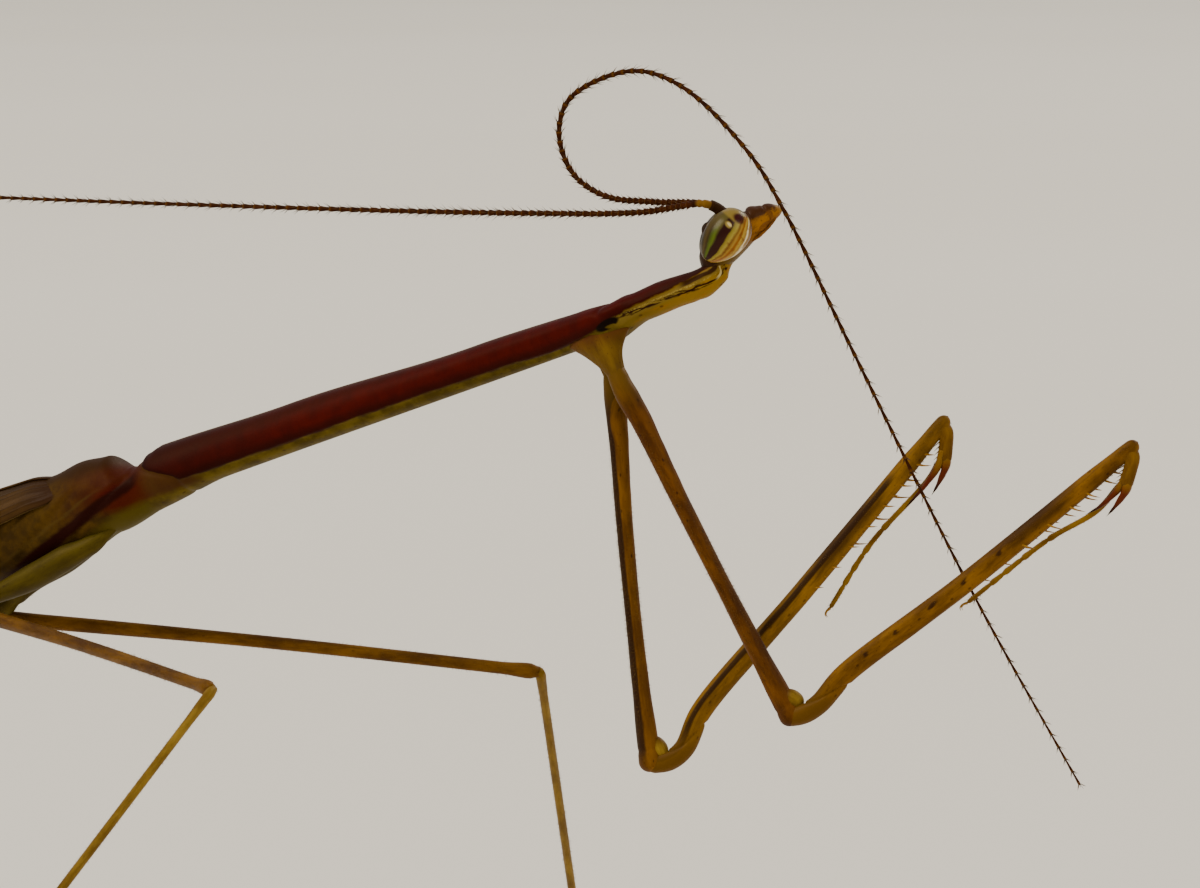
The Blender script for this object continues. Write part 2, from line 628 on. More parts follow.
print("trunk")
makeTrunk(trunkFinish())


# Head.

headCase = dict(
    stations=(-0.15, 0, 0.3, 0.6, 0.95, 1.2, 1.39, 1.6, 1.75, 1.99, 2.1, 2.21),
    top=(0.02, 0.3, 0.45, 0.52, 0.56, 0.52, 0.46, 0.43, 0.35, 0.24, 0.12, -0.04),
    bottom=(-0.1, -0.28, -0.33, -0.33, -0.29, -0.25, -0.23, -0.21, -0.19, -0.17, -0.14, -0.07),
    half=(0.05, 0.3, 0.4, 0.46, 0.45, 0.42, 0.38, 0.33, 0.29, 0.2, 0.14, 0.02),
    rows=150, around=72,
)
eye = dict(centre=(0.74, 0.82, 0.28), half=(0.71, 0.48, 0.5), tilt=10, narrowing=0.14)


def headRelief(x, y, z):
    # grooves and swellings of the face, in millimetres, from the place in the head's frame
    face = rise(z, 0.1, 0.3)
    push = 0.035 * hump(np.abs(y), 0.2, 0.1) * hump(x, 1.0, 0.12) * face
    push -= 0.03 * hump(x, 1.22, 0.035) * face
    push -= 0.03 * hump(x, 1.47, 0.03) * face
    push += 0.03 * hump(x, 1.62, 0.12) * face * hump(y, 0, 0.25)
    push -= 0.025 * hump(x, 1.86, 0.03) * rise(z, 0, 0.1)
    push -= 0.02 * hump(y, 0, 0.025) * rise(x, 0.0, 0.2) * rise(-x, -0.9, -0.7) * face
    cheek = rise(-np.abs(z + 0.02), -0.2, -0.1)
    push -= 0.025 * hump(z + 0.12 * x, 0.0, 0.03) * rise(x, 1.3, 1.45) * rise(-x, -2.1, -2.0) * cheek
    return push


def makeHead(finish):
    x = np.linspace(headCase["stations"][0], headCase["stations"][-1], headCase["rows"])

    def through(values):
        spots = np.array(headCase["stations"])
        smooth = curveThrough(np.stack([spots, values, 0 * spots], 1), np.linspace(0, 1, 900))
        return np.interp(x, smooth[:, 0], smooth[:, 1])

    top, bottom, half = (through(np.array(headCase[k])) for k in ("top", "bottom", "half"))
    middle = ((top + bottom) / 2)[:, None]
    a = np.arange(headCase["around"])[None, :] * 2 * math.pi / headCase["around"]
    # the section is squared a little: sin a and cos a keep their sign and take the power 0.9
    s, c = (np.sign(f) * np.abs(f) ** 0.9 for f in (np.sin(a), np.cos(a)))
    deep = ((top - bottom) / 2)[:, None]
    px, py, pz = x[:, None] + 0 * a, half[:, None] * s, deep * c
    grown = 1 + headRelief(px, py, middle + pz) / (np.sqrt(py ** 2 + pz ** 2) + 1e-9)
    lay = np.stack([px, py * grown, middle + pz * grown], -1).reshape(-1, 3)
    lay = np.concatenate([lay, [[x[0] - 0.01, 0, middle[0, 0]], [x[-1] + 0.01, 0, middle[-1, 0]]]])
    shell = closedRings(headCase["rows"], headCase["around"], True)
    shell.update(spots=np.array(head["joint"]) + lay @ headAxes, lay=lay)
    shell.update(forward=lay[:, 0], lifted=lay[:, 2])
    return makePiece("headCase", shell, finish, ("head",))


def headFinish():
    made, tree, shader = newFinish("headCuticle", 0.45, coat=0.02, level=0.16)
    grain = grainOf(tree, (1.6, 1.6, 1.6))
    x, z = field(tree, "forward"), field(tree, "lifted")
    long = noise(tree, laid(tree, (2, 7, 7)), 1.4, 4.0, 0.6)
    amber = paint(tree, "#5a3406", "#7e4c0a", ramp(tree, grain["Cloudy"], 0.32, 0.72))
    skin = paint(tree, amber, "#96600f", between(tree, z, -0.1, 0.1, 0.1), ramp(tree, x, 1.1, 1.5))
    slope = times(tree, calc(tree, "MAXIMUM", calc(tree, "SUBTRACT", x, 1.4), 0.0), 0.28)
    rim = calc(tree, "ADD", calc(tree, "ADD", z, slope), swing(tree, long, 0.4))
    skin = paint(tree, skin, "#301408", ramp(tree, rim, 0.16, 0.26), 0.88)
    skin = paint(tree, skin, "#563c10", ramp(tree, x, 0.9, 0.4))
    skin = paint(tree, skin, "#241004", ramp(tree, z, -0.22, -0.05), ramp(tree, x, 0.5, 0.2))
    chin = times(tree, ramp(tree, z, -0.08, -0.26), ramp(tree, x, 1.6, 0.8))
    skin = paint(tree, skin, "#5a4612", chin, 0.8)
    skin = paint(tree, skin, "#2e1406", ramp(tree, long, 0.54, 0.68), 0.4)
    flecks = dots(tree, laid(tree, (1, 1, 1)), 7.0, 0.08, 0.2)
    skin = paint(tree, skin, "#2a0c04", flecks, 0.5)
    skin = paint(tree, skin, "#8a6a2c", ramp(tree, x, 2.04, 2.16), 0.7)
    dress(tree, shader, skin, grain["Height"], 0.006, 0.35)
    return made


def makeEyes(finish):
    tilt = math.radians(eye["tilt"])
    for name, side in (("right", -1), ("left", 1)):
        ahead, up = [math.cos(tilt), 0, math.sin(tilt)], [-math.sin(tilt), 0, math.cos(tilt)]
        centre = inHead(eye["centre"][0], side * eye["centre"][1], eye["centre"][2])
        axes = np.array([ahead, [0, side, 0], up]) @ headAxes
        shell = ball(centre, axes, np.array(eye["half"]), 90, 120, eye["narrowing"])
        along, out, up = (shell["lay"][:, k] / eye["half"][k] for k in range(3))
        girth = np.sqrt(out ** 2 + up ** 2) + 1e-6
        shell["bend"] = np.where(out > 0, -up / girth, -np.sign(up) * (2 - np.abs(up) / girth))
        shell["reach"] = along
        makePiece("eye_" + name + "_glass", shell, finish, ("eye_" + name,))


def spot(tree, x, y, middle, half, soft=0.3):
    # 1 inside an oval of these half-sizes round middle and 0 outside it
    dx = calc(tree, "DIVIDE", calc(tree, "SUBTRACT", x, middle[0]), half[0])
    dy = calc(tree, "DIVIDE", calc(tree, "SUBTRACT", y, middle[1]), half[1])
    far = calc(tree, "SQRT", calc(tree, "ADD", times(tree, dx, dx), times(tree, dy, dy)))
    return ramp(tree, far, 1 + soft, 1 - soft)


def eyeFinish():
    made, tree, shader = newFinish("eyeGlass", 0.3, coat=0.06, level=0.14, glint="#ffe8cc")
    wander = noise(tree, laid(tree, (1.5, 5, 5)), 1.6, 3.0)
    shake = swing(tree, wander, 0.2)
    reach = field(tree, "reach")
    bend = calc(tree, "ADD", calc(tree, "ADD", field(tree, "bend"), shake), times(tree, reach, 0.28))
    stops = (
        (-1.1, "#2a2006"), (-0.9, "#463610"), (-0.78, "#30220a"), (-0.64, "#404a0e"),
        (-0.5, "#4e5c12"), (-0.42, "#3c3a0a"), (-0.34, "#220604"), (0.03, "#2a0804"),
        (0.1, "#7a6a1c"), (0.27, "#9a8630"), (0.38, "#6e4812"), (0.48, "#9a7424"),
        (0.6, "#7e420c"), (0.7, "#a8862a"), (0.84, "#8e6c20"), (0.92, "#efe2b4"),
        (0.97, "#8a6424"), (1.1, "#5a3a14"),
    )
    widest = 1.2
    bands = tree.nodes.new("ShaderNodeValToRGB")
    reading = wire(tree, "MapRange", {"Value": bend, "From Min": -widest, "From Max": widest})[0]
    tree.links.new(reading, bands.inputs[0])
    track = bands.color_ramp
    while len(track.elements) < len(stops):
        track.elements.new(0.5)
    for element, (at, colour) in zip(track.elements, stops):
        element.position = (at + widest) / (2 * widest)
        element.color = tint(colour)
    skin = bands.outputs["Color"]
    # the green fades to brown towards the mouth end, where the dark band is broken by cream
    fade = times(tree, ramp(tree, reach, -0.25, 0.35), ramp(tree, bend, -0.3, -0.42))
    skin = paint(tree, skin, "#50421a", fade, 0.85)
    skin = paint(tree, skin, "#7a6426", ramp(tree, reach, 0.5, 0.6), ramp(tree, bend, 0.3, 0.0))
    skin = paint(tree, skin, "#8a7434", spot(tree, bend, reach, (-0.18, 0.36), (0.17, 0.09), 0.4))
    skin = paint(tree, skin, "#c0aa70", spot(tree, bend, reach, (-0.14, 0.385), (0.12, 0.045), 0.45))
    skin = paint(tree, skin, "#300403", spot(tree, bend, reach, (0.1, 0.75), (0.4, 0.15), 0.35))
    ends = calc(tree, "MAXIMUM", ramp(tree, reach, 0.9, 0.99), ramp(tree, reach, -0.93, -1.0))
    skin = paint(tree, skin, "#4a3810", ends)
    dapple = ramp(tree, noise(tree, laid(tree, (1, 1, 1)), 8.0, 4.0), 0.52, 0.66)
    pale = ramp(tree, bend, 0.15, 0.3)
    skin = paint(tree, skin, "#5a2a08", dapple, pale, 0.5)
    cells = {"Vector": laid(tree, (1, 1, 1)), "Scale": 30.0, "Randomness": 0.15}
    dress(tree, shader, skin, wire(tree, "TexVoronoi", cells)["Distance"], 0.003, 0.2)
    return made


print("head")
makeHead(headFinish())
makeEyes(eyeFinish())


def stick(points, wide, high=None, rows=40, around=14, over=(0, 0, 1), low=None, relief=None,
          domes=(0, 0)):
    # a tube whose half-width and half-height are station tables over its length from 0 to 1;
    # domes are the shares of its length that close as a dome: half*sqrt(1 - (1 - d)^2), with d
    # from 0 at the tip to 1 where the dome begins
    t = np.linspace(0, 1, rows)
    if max(domes) > 0:
        t = t - 0.9 * np.sin(2 * math.pi * t) / (2 * math.pi)
    path = curveThrough(points, t)
    closing = np.ones(rows)
    for share, away in zip(domes, (t, 1 - t)):
        if share > 0:
            closing = closing * np.sqrt(1 - (1 - np.clip(away / share, 0.002, 1)) ** 2)
    high = wide if high is None else high
    low = high if low is None else low
    halves = (ease(t, *table) * closing for table in (wide, high, low))
    return tube(path, *halves, around, over, relief)


def mouthShell():
    # upper lip, two jaws beside it, and the four feelers of the mouth folded under them
    faceUp = headAxes[2]
    lip = [inHead(1.5, 0, 0.06), inHead(1.9, 0, 0.02), inHead(2.2, 0, -0.05)]
    lipWide = ([0, 0.3], [0.5, 0.26], [0.85, 0.13], [1, 0.02])
    lipHigh = ([0, 0.3], [0.4, 0.26], [0.8, 0.13], [1, 0.02])
    parts = [stick(lip, lipWide, lipHigh, 40, 32, faceUp)]
    t = np.linspace(0, 1, 60)
    knots = 0.026 + 0.01 * np.abs(np.sin(t * math.pi * 4)) ** 0.5
    knots = knots * rise(1.02 - t, 0, 0.08) * rise(t, -0.05, 0.08)
    for side in (-1, 1):
        jaw = [
            inHead(1.2, side * 0.22, -0.06), inHead(1.65, side * 0.17, -0.07),
            inHead(2.0, side * 0.08, -0.08),
        ]
        parts.append(stick(jaw, ([0, 0.03], [0.4, 0.12], [0.85, 0.08], [1, 0.01]), None, 36, 24, faceUp))
        for reach, out, drop in ((1.0, 0.2, -0.02), (0.7, 0.1, -0.03)):
            palp = [
                inHead(1.1, side * out, -0.18), inHead(1.3, side * (out + 0.02), -0.2 + drop),
                inHead(1.4 + 0.28 * reach, side * out, -0.18 + drop),
                inHead(1.4 + 0.56 * reach, side * out * 0.6, -0.13),
            ]
            parts.append(tube(curveThrough(palp, t), knots, knots, None, 12, faceUp))
    return together(*parts)


def mouthFinish():
    made, tree, shader = newFinish("mouthCuticle", 0.42, coat=0.04, level=0.2)
    grain = grainOf(tree, (2, 2, 2))
    skin = paint(tree, "#5c3208", "#845010", ramp(tree, grain["Cloudy"], 0.3, 0.74))
    skin = paint(tree, skin, "#9a7430", ramp(tree, grain["Fine"], 0.5, 0.7), 0.12)
    height = calc(tree, "ADD", laidParts(tree)["Z"], times(tree, grain["Cloudy"], 0.12))
    skin = paint(tree, skin, "#34180a", ramp(tree, height, 0.1, 0.17), 0.85)
    dress(tree, shader, skin, grain["Height"], 0.006, 0.5)
    return made


makePiece("mouthPieces", mouthShell(), mouthFinish(), ("mouthparts",))


def simpleFinish(name, dark, light, roughness=0.3, coat=0.4, scale=2.0):
    made, tree, shader = newFinish(name, roughness, coat=coat)
    grain = grainOf(tree, (scale, scale, scale))
    skin = paint(tree, dark, light, ramp(tree, grain["Cloudy"], 0.35, 0.7))
    dress(tree, shader, skin, grain["Height"], 0.004, 0.4)
    return made


# the three simple eyes stand on a dark hump of the crown
crown = ball(inHead(0.56, 0, 0.55), headAxes, np.array([0.21, 0.24, 0.25]), 20, 32)
makePiece("crown", crown, simpleFinish("crownCuticle", "#221206", "#3c240c", 0.5, 0.05))
ocelli = [
    ball(inHead(*at), headAxes, np.array([0.075, 0.075, 0.06]), 12, 20)
    for at in ((0.74, 0, 0.68), (0.62, 0.15, 0.7), (0.62, -0.15, 0.7))
]
makePiece("ocelli", together(*ocelli), simpleFinish("ocelliGlass", "#5a3a10", "#9a7a30", 0.15, 0.6))


# Feelers.

feeler = dict(
    baseHalf=0.086, tipHalf=0.032, rowsEach=8, rootRows=40, around=10, over=(-0.52, 0.85, 0),
    bristlesEach=8, bristleHalf=0.0105,
)
feelerRoutes = {
    "right": (-1, [(0.5, -0.38, 19.07), (-2.65, -0.5, 19.0), (-12.2, 0.35, 19.0), (-27.9, 1.1, 19.2)]),
    "left": (1, [
        (0.5, 0.38, 19.29), (-1.0, 0.5, 19.42), (-1.85, 0.49, 19.95), (-2.18, 0.45, 20.85),
        (-1.9, 0.46, 21.66), (-0.29, 0.53, 22.33), (1.15, 0.46, 22.0), (3.0, 0.44, 20.47),
        (3.95, 0.46, 19.13), (5.4, 1.0, 16.03), (8.06, 2.2, 10.2), (10.08, 3.57, 5.84),
    ]),
}


def feelerJoints(length):
    # segments are 0.1 long near the head and lengthen to 0.33 along the feeler
    steps, here = [], 1.1
    while here < length - 0.1:
        steps.append(here)
        here += 0.1 + 0.23 * min(1, (here / 12) ** 0.8)
    return np.array(steps + [length])


def makeFeeler(name, finish, bristleFinish):
    side, route = feelerRoutes[name]
    start = [inHead(1.08, side * 0.22, 0.45), inHead(1.0, side * 0.3, 0.92), inHead(0.84, side * 0.38, 1.16)]
    dense = curveThrough(start + route, np.linspace(0, 1, 6000))
    length = runOf(dense)[-1]
    joints = feelerJoints(length)
    # the shaft swells along each segment and dips at its end:
    # half = taper*(0.7 + 0.5*u^1.6 - 0.4*rise(u)), with u from 0 to 1 along the segment
    edges = joints[:-1, None] + np.diff(joints)[:, None] * np.linspace(0, 0.995, feeler["rowsEach"])
    where = edges.reshape(-1)
    u = np.tile(np.linspace(0, 1, feeler["rowsEach"]), len(joints) - 1)
    taper = feeler["tipHalf"] + (feeler["baseHalf"] - feeler["tipHalf"]) * (1 - where / length) ** 1.1
    half = taper * (0.7 + 0.5 * u ** 1.6 - 0.4 * rise(u, 0.88, 1.0))
    root = np.linspace(0, joints[0] - 0.01, feeler["rootRows"])
    rootHalf = ease(
        root, [0, 0.14], [0.3, 0.14], [0.62, 0.13], [0.65, 0.085], [0.68, 0.1], [0.78, 0.1],
        [0.8, 0.07], [0.83, 0.075], [0.92, 0.09], [0.94, 0.07], [1.1, 0.085],
    )
    where, half = np.concatenate([root, where]), np.concatenate([rootHalf, half])
    shell = tube(spaced(dense, where / length), half, half, None, feeler["around"], feeler["over"])
    within = np.repeat(np.concatenate([0 * root, u]), feeler["around"])
    shell["joint"] = np.concatenate([within, [0, 1]])
    shell["reach"] = shell["lay"][:, 0]
    count = len([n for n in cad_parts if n.startswith("antenna_" + name)])
    replaced = tuple(f"antenna_{name}_{i + 1}" for i in range(count))
    makePiece("feeler_" + name, shell, finish, replaced)
    # a whorl of stiff bristles leans towards the tip at the far end of every segment
    each = feeler["bristlesEach"]
    spotsAt = np.repeat(joints[1:] - 0.02, each)
    base = spaced(dense, spotsAt / length)
    behind, before = (spotsAt - 0.05) / length, np.minimum(1, (spotsAt + 0.05) / length)
    ahead = unit(spaced(dense, before) - spaced(dense, behind))
    across = unit(np.cross(ahead, np.array(feeler["over"])))
    lift = np.cross(across, ahead)
    turn = np.tile(np.arange(each) * 2 * math.pi / each, len(joints) - 1)
    turn = turn + chance.uniform(-0.3, 0.3, len(base))
    outward = across * np.sin(turn)[:, None] + lift * np.cos(turn)[:, None]
    roots = base + outward * (np.interp(spotsAt, where, half) * 0.85)[:, None]
    reach = chance.uniform(0.17, 0.25, len(base))
    reach = reach * (0.4 + 0.6 * rise(spotsAt, 1, 7)) * (1 - 0.25 * spotsAt / length)
    tips = roots + unit(ahead * 0.78 + outward * 0.62) * reach[:, None]
    spun = (turn % (2 * math.pi)) / (2 * math.pi)
    unwrap = np.stack([spotsAt / length * 0.98 + 0.01, spun * 0.9 + 0.05], 1)
    bristles = spikes(roots, tips, feeler["bristleHalf"], unwrap)
    makePiece("feelerBristles_" + name, bristles, bristleFinish)


def feelerFinish():
    made, tree, shader = newFinish("feelerCuticle", 0.6, level=0.06)
    grain = grainOf(tree, (2, 2, 2))
    skin = paint(tree, "#260e04", "#3e1c08", ramp(tree, grain["Cloudy"], 0.35, 0.7))
    skin = paint(tree, skin, "#6e4414", ramp(tree, field(tree, "joint"), 0.7, 0.95), 0.6)
    reach = field(tree, "reach")
    scape = times(tree, ramp(tree, reach, 0.64, 0.67), ramp(tree, reach, 1.02, 0.9))
    skin = paint(tree, skin, "#745016", scape, 0.9)
    skin = paint(tree, skin, "#301a0a", ramp(tree, reach, 0.66, 0.63))
    dress(tree, shader, skin, grain["Height"], 0.004, 0.5)
    return made


def hairFinish(name, root, tip):
    # hairs pale from root to tip along their own length
    made, tree, shader = newFinish(name, 0.45, level=0.2)
    along = laidParts(tree)["X"]
    flecks = noise(tree, wire(tree, "TexCoord")["Object"], 4000.0, 2.0)
    skin = paint(tree, root, tip, along)
    skin = paint(tree, skin, "#2a1808", ramp(tree, flecks, 0.6, 0.7), 0.3)
    dress(tree, shader, skin)
    return made


print("feelers")
feelerSkin = feelerFinish()
darkBristle = hairFinish("darkBristle", "#2a1508", "#6a4a24")
for feelerSide in ("right", "left"):
    makeFeeler(feelerSide, feelerSkin, darkBristle)


# Grasping legs.

def limbFinish(name, dark, light, dotted=0.7, stripe=None, end=None, patch=None, spotted=None):
    # golden to brown cuticle with small dark dots and, on some lengths, a dark stripe, a smear
    # or a row of spots. stripe is its lowest and highest place, in millimetres, and where it
    # fades; spotted is the first and last place, the step and the height of the row.
    made, tree, shader = newFinish(name, 0.48)
    grain = grainOf(tree, (1.2, 1.6, 1.6))
    along, up = laidParts(tree)["X"], laidParts(tree)["Z"]
    soft = noise(tree, laid(tree, (0.7, 2.2, 2.2)), 1.3, 4.0, 0.6)
    fibres = noise(tree, laid(tree, (0.8, 9, 9)), 1.6, 3.0, 0.6)
    shake = swing(tree, fibres, 0.08)
    skin = paint(tree, dark, light, ramp(tree, soft, 0.3, 0.72))
    skin = paint(tree, skin, dark, ramp(tree, fibres, 0.52, 0.68), 0.45)
    edge = times(tree, ramp(tree, calc(tree, "ABSOLUTE", up), 0.14, 0.26), 0.35)
    skin = paint(tree, skin, dark, edge)
    marks = dots(tree, laid(tree, (0.8, 1.4, 1.4)), 3.1, 0.07, 0.15)
    skin = paint(tree, skin, "#1e0602", marks, dotted)
    specks = dots(tree, laid(tree, (1, 1, 1)), 9.0, 0.08, 0.2)
    skin = paint(tree, skin, "#2a0c04", specks, dotted * 0.7)
    if stripe:
        low, high, fade = stripe
        band = between(tree, calc(tree, "ADD", up, shake), low, high, 0.025)
        band = times(tree, band, ramp(tree, along, fade + 0.6, fade))
        skin = paint(tree, skin, "#190803", band, 0.9)
    if patch:
        start, stop = patch
        worn = calc(tree, "ADD", times(tree, shake, 12.0), along)
        smear = times(tree, between(tree, worn, start, stop, 0.5), ramp(tree, up, -0.16, 0.0))
        skin = paint(tree, skin, "#241004", smear, 0.7)
    if spotted:
        first, last, step, height = spotted
        wander = swing(tree, soft, 0.9)
        beside = calc(tree, "FLOORED_MODULO", calc(tree, "ADD", along, wander), step)
        beside = calc(tree, "SUBTRACT", beside, step / 2)
        row = spot(tree, beside, calc(tree, "ADD", up, shake), (0, height), (0.1, 0.05), 0.5)
        row = times(tree, row, between(tree, along, first, last, 0.1))
        skin = paint(tree, skin, "#1c0803", row, 0.85)
    if end:
        reach, colour = end
        skin = paint(tree, skin, colour, ramp(tree, along, *reach), 0.85)
    rough = spreadOf(tree, grain["Fine"], 0.42, 0.62)
    dress(tree, shader, skin, grain["Height"], 0.006, 0.4, rough)
    return made


foreLeg = dict(
    hip=(-0.6, 0.32, 15.95), coxa=9.68, past=0.36, femur=10.45, tibia=0.95, fold=140,
    right=dict(
        side=-1, shift=0.06, skirt=0.62, coxaTurn=8.5, coxaClimb=-60.5, bow=0.03, femurTurn=12.5,
        femurClimb=37.1, sag=0.24, beyond=0.14, prong=177, reach=1.35,
        tarsus=[(11.1, 2.5, 12.28), (9.9, 2.4, 11.6), (8.1, 1.75, 10.1)],
    ),
    left=dict(
        side=1, shift=-0.05, skirt=0.3, coxaTurn=-8, coxaClimb=-83.6, bow=0.11, femurTurn=20.5,
        femurClimb=48.6, sag=0.42, beyond=0.24, prong=176, reach=1.65,
        tarsus=[(6.4, 2.89, 12.85), (5.13, 2.43, 11.35), (4.27, 2.01, 9.83)],
    ),
)
hairRows = []


def keepHair(points, half, count, length, lean, over=(0, 0, 1), span=(0.0, 1.0)):
    # notes a length of limb for the down that is made at the end
    row = dict(points=points, half=half, count=count, length=length, lean=lean, over=over, span=span)
    hairRows.append(row)


def footShell(points, halves, breaks, over=(0, 0, 1), rows=110, around=14):
    # a five-jointed foot: the half-width dips at each joint and swells before it
    t = np.linspace(0, 1, rows)
    half = ease(t, *halves)
    for spot in breaks:
        half = half * (1 + 0.22 * hump(t, spot - 0.02, 0.02) - 0.34 * hump(t, spot + 0.005, 0.008))
    half = half * np.sqrt(np.clip((1 - t) / 0.015, 0.02, 1))
    return tube(curveThrough(points, t), half, half, None, around, over)


def clawPair(at, ahead, spread, size, up):
    parts = []
    for side in (-1, 1):
        out = spread * side
        ways = (0 * ahead, ahead * 0.4 + out * 0.3 + up * 0.12, ahead * 0.75 + out * 0.5,
                ahead * 0.85 + out * 0.5 - up * 0.28)
        claw = [at + way * size for way in ways]
        parts.append(stick(claw, ([0, 0.035], [0.5, 0.024], [1, 0.004]), None, 16, 8, (0.3, 0.2, 0.9)))
    return together(*parts)


def socketShell(root, down, side, fore):
    # a skirt of soft skin between body and hip, with u from 0 at the body to 1 on the hip:
    # spot = centre(u) + ahead(u)*cos a*long(u) + across*sin a*wide(u), with long falling off as
    # 0.2 + 0.66*(1-u)^2.1 behind and 0.2 + fore*(1-u)^2.6 in front; it closes inside the body
    u = np.linspace(-0.4, 1.1, 70)[:, None]
    a = np.linspace(0, 2 * math.pi, 64, endpoint=False)[None, :]
    left = 1 - np.clip(u, 0, 1)
    bodyCentre = root + [-0.08, -0.1 * side, 0.15]
    centre = bodyCentre + (root + down * 1.05 - bodyCentre) * u
    ahead = unit(np.cross(down, [0, 1, 0]) * np.clip(u, 0, 1) - bodyAxis * left)
    tuck = np.sqrt(1 - (np.clip(-u, 0, 0.39) / 0.4) ** 2)
    long = np.where(np.cos(a) > 0, 0.2 + fore * left ** 2.6, 0.2 + 0.66 * left ** 2.1) * tuck
    crumple = 1 + 0.02 * np.sin(9 * a + 7 * u) * np.sin(math.pi * np.clip(u, 0, 1))
    crumple = crumple + 0.012 * np.sin(14 * u + 3 * a)
    out, up = crumple * (0.2 + 0.05 * left) * tuck * np.sin(a), crumple * long * np.cos(a)
    sideways = np.array([0, side, 0]) * out[..., None]
    spots = (centre[:, None] + ahead[:, None] * up[..., None] + sideways).reshape(-1, 3)
    lay = np.stack([1.05 * u + 0 * a, out, up], -1).reshape(-1, 3)
    return dict(
        closedRings(u.shape[0], a.shape[1], side > 0),
        spots=np.concatenate([spots, centre[[0, -1]]]),
        lay=np.concatenate([lay, [[-0.4, 0, 0], [1.15, 0, 0]]]),
    )


def makeForeLeg(name, finishes):
    leg = foreLeg[name]
    side = leg["side"]
    hip = np.array(foreLeg["hip"]) * [1, side, 1]
    root = hip + [leg["shift"], 0, 0]
    elbow = hip + heading(leg["coxaTurn"], leg["coxaClimb"]) * foreLeg["coxa"]
    bend = root + (elbow - root) * 0.45 + [-2 * leg["bow"], 0, 0]
    t = np.linspace(0, 1, 9)[:, None]
    down = unit(elbow - root)
    bow = (1 - t) ** 2 * root + 2 * t * (1 - t) * bend + t * t * elbow
    coxaPoints = np.vstack([bow, [elbow + down * foreLeg["past"]]])
    coxaPoints[0] += [0.03, -0.15 * side, 0]

    def coxaRelief(station, a, out, up):
        # three long low ridges and a crease before the elbow
        share = station / (foreLeg["coxa"] + foreLeg["past"])
        ridges = 0.02 * (hump(np.cos(a * 1.5), 0, 0.25) - 0.5)
        ridges = ridges * rise(share, 0.14, 0.26) * rise(1 - share, 0.08, 0.18)
        return ridges - 0.015 * hump(share, 0.95, 0.006)

    wide = ([0, 0.15], [0.07, 0.22], [0.12, 0.25], [0.3, 0.2], [0.7, 0.18], [0.9, 0.21], [1, 0.23])
    belly = ([0.14, 0.3], [0.2, 0.315], [0.27, 0.285], [0.34, 0.25], [0.42, 0.22])
    back = ([0.13, 0.26], [0.2, 0.21], [0.26, 0.2], [0.4, 0.205])
    front, rear = (
        ([0, 0.15], [0.05, 0.2], [0.09, 0.25], *middle, [0.62, 0.2], [0.8, 0.23], [0.92, 0.27], [1, 0.29])
        for middle in (belly, back)
    )
    coxaShell = stick(coxaPoints, wide, front, 240, 44, low=rear, relief=coxaRelief, domes=(0.01, 0.026))
    skirt = socketShell(root, down, side, leg["skirt"])
    makePiece(f"foreSocket_{name}", skirt, finishes["socket"])
    coxaFinish, femurFinish = (finishes[part + name.capitalize()] for part in ("coxa", "femur"))
    makePiece(f"foreCoxa_{name}", coxaShell, coxaFinish, (f"foreleg_{name}_coxa",))
    keepHair(coxaPoints, 0.21, 4200, 0.05, 1.6, span=(0.1, 0.98))

    ahead = heading(leg["femurTurn"], leg["femurClimb"])
    below = heading(leg["femurTurn"], leg["femurClimb"] - 90)
    outward = heading(leg["femurTurn"] + 90 * side, 0)
    length, sag = foreLeg["femur"], leg["sag"]
    knee = elbow + ahead * (length + leg["beyond"] - 0.12)
    femurPlaces = (
        (-0.2, 0.06), (0.25, 0.8 * sag + 0.06), (0.7, sag + 0.05), (1.6, 0.5 * sag),
        (length / 2, 0.15), (length + leg["beyond"], 0.0),
    )
    femurPoints = [elbow + ahead * d + below * drop for d, drop in femurPlaces]

    def femurRelief(station, a, out, up):
        # a channel along the underside for the folded shin, and the slanting seam where the
        # short trochanter joins the thigh, lower on the underside than on the top
        share = station / length
        channel = 0.05 * hump(out, 0, 0.05) * (up < 0) * rise(share, 0.35, 0.5)
        seam = 1.2 - 2.4 * up
        return 0.02 * rise(seam - station, 0.0, 0.3) - channel - 0.04 * hump(station, seam, 0.05)

    wide = ([0, 0.18], [0.06, 0.2], [0.15, 0.19], [0.5, 0.18], [0.85, 0.17], [1, 0.15])
    high = ([0, 0.2], [0.06, 0.23], [0.2, 0.25], [0.55, 0.25], [0.85, 0.235], [0.95, 0.2], [1, 0.18])
    femurShell = stick(femurPoints, wide, high, 300, 44, relief=femurRelief, domes=(0.02, 0.018))
    makePiece(f"foreFemur_{name}", femurShell, femurFinish, (f"foreleg_{name}_femur",))
    keepHair(femurPoints, 0.19, 2600, 0.04, 1.5, span=(0.05, 0.98))

    def turned(fold):
        return heading(leg["femurTurn"], leg["femurClimb"] - fold)

    folded = turned(foreLeg["fold"])
    shin = knee + folded * foreLeg["tibia"]
    shinPoints = [
        knee - ahead * 0.08 + folded * 0.02, knee + folded * 0.38 + ahead * 0.05, shin + folded * 0.04,
    ]
    wide = ([0, 0.13], [0.2, 0.15], [0.5, 0.14], [0.85, 0.12], [1, 0.11])
    high = ([0, 0.14], [0.2, 0.18], [0.5, 0.165], [0.85, 0.17], [1, 0.15])
    shinShell = stick(shinPoints, wide, high, 90, 32, ahead, domes=(0.1, 0.12))
    makePiece(f"foreTibia_{name}", shinShell, finishes["tibia"], (f"foreleg_{name}_tibia",))
    keepHair([knee, shin], 0.14, 160, 0.06, 0.9, over=ahead)

